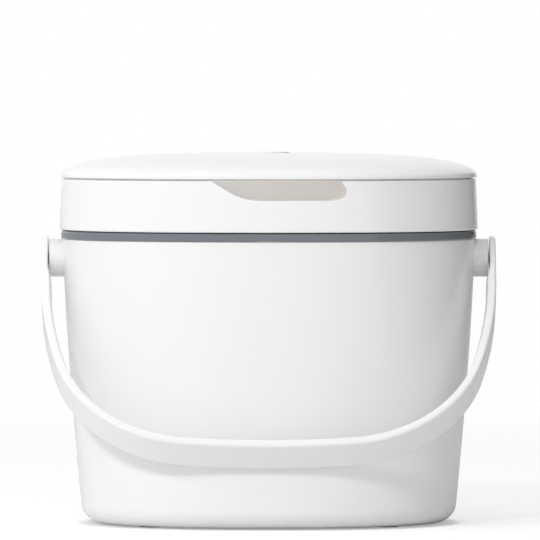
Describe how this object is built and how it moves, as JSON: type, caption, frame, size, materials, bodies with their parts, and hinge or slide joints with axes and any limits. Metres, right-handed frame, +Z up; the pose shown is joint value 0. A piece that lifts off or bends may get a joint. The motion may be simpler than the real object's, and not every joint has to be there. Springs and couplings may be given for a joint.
{
  "type": "compost caddy with hinged lid",
  "caption": "Countertop food-waste caddy: tapered bucket with bail handle, lift-out liner ring and hinged domed lid with a carbon filter.",
  "frame": {"origin": "on the floor, under the middle of the bucket", "axes": "+Z up; +X to the right across the bucket, along the handle's pivots; -Y towards the front, where the finger recess is; hinge at +Y"},
  "size_m": [0.2718, 0.2131, 0.2227],
  "materials": {
    "shell_white": "smooth semi-gloss moulded plastic",
    "ring_grey": "smooth semi-gloss moulded plastic",
    "foot_rubber": "matt rubber",
    "seal_rubber": "matt soft rubber",
    "pin_steel": "ground rod",
    "filter_black": "felted carbon pad"
  },
  "bodies": {
    "bucket": {"bucket": "shell_white", "feet": "foot_rubber", "handle_pin_left": "shell_white", "handle_pin_right": "shell_white"},
    "handle": {"handle": "shell_white"},
    "ring": {"liner_ring": "ring_grey"},
    "hinge_pin": {"hinge_pin": "pin_steel"},
    "lid": {"lid_frame": "shell_white", "lid_cover": "shell_white", "cover_disc": "shell_white", "lid_seal": "seal_rubber", "filter_tray": "shell_white", "filter_pad": "filter_black"}
  },
  "joints": [
    {"name": "handle_swing", "type": "hinge", "parent": "bucket", "child": "handle", "pos_m": [0, 0, 0.159], "axis": [1, 0, 0], "range_deg": [-277, 0]},
    {"name": "ring_lift", "type": "slide", "parent": "bucket", "child": "ring", "axis": [0, 0, 1], "range_m": [0, 0.0352]},
    {"name": "lid_lift", "type": "slide", "parent": "ring", "child": "hinge_pin", "axis": [0, 0, 1], "range_m": [0, 0.0521]},
    {"name": "lid_hinge", "type": "hinge", "parent": "hinge_pin", "child": "lid", "pos_m": [0, 0.0983, 0.1805], "axis": [1, 0, 0], "range_deg": [-105, 0]}
  ]
}
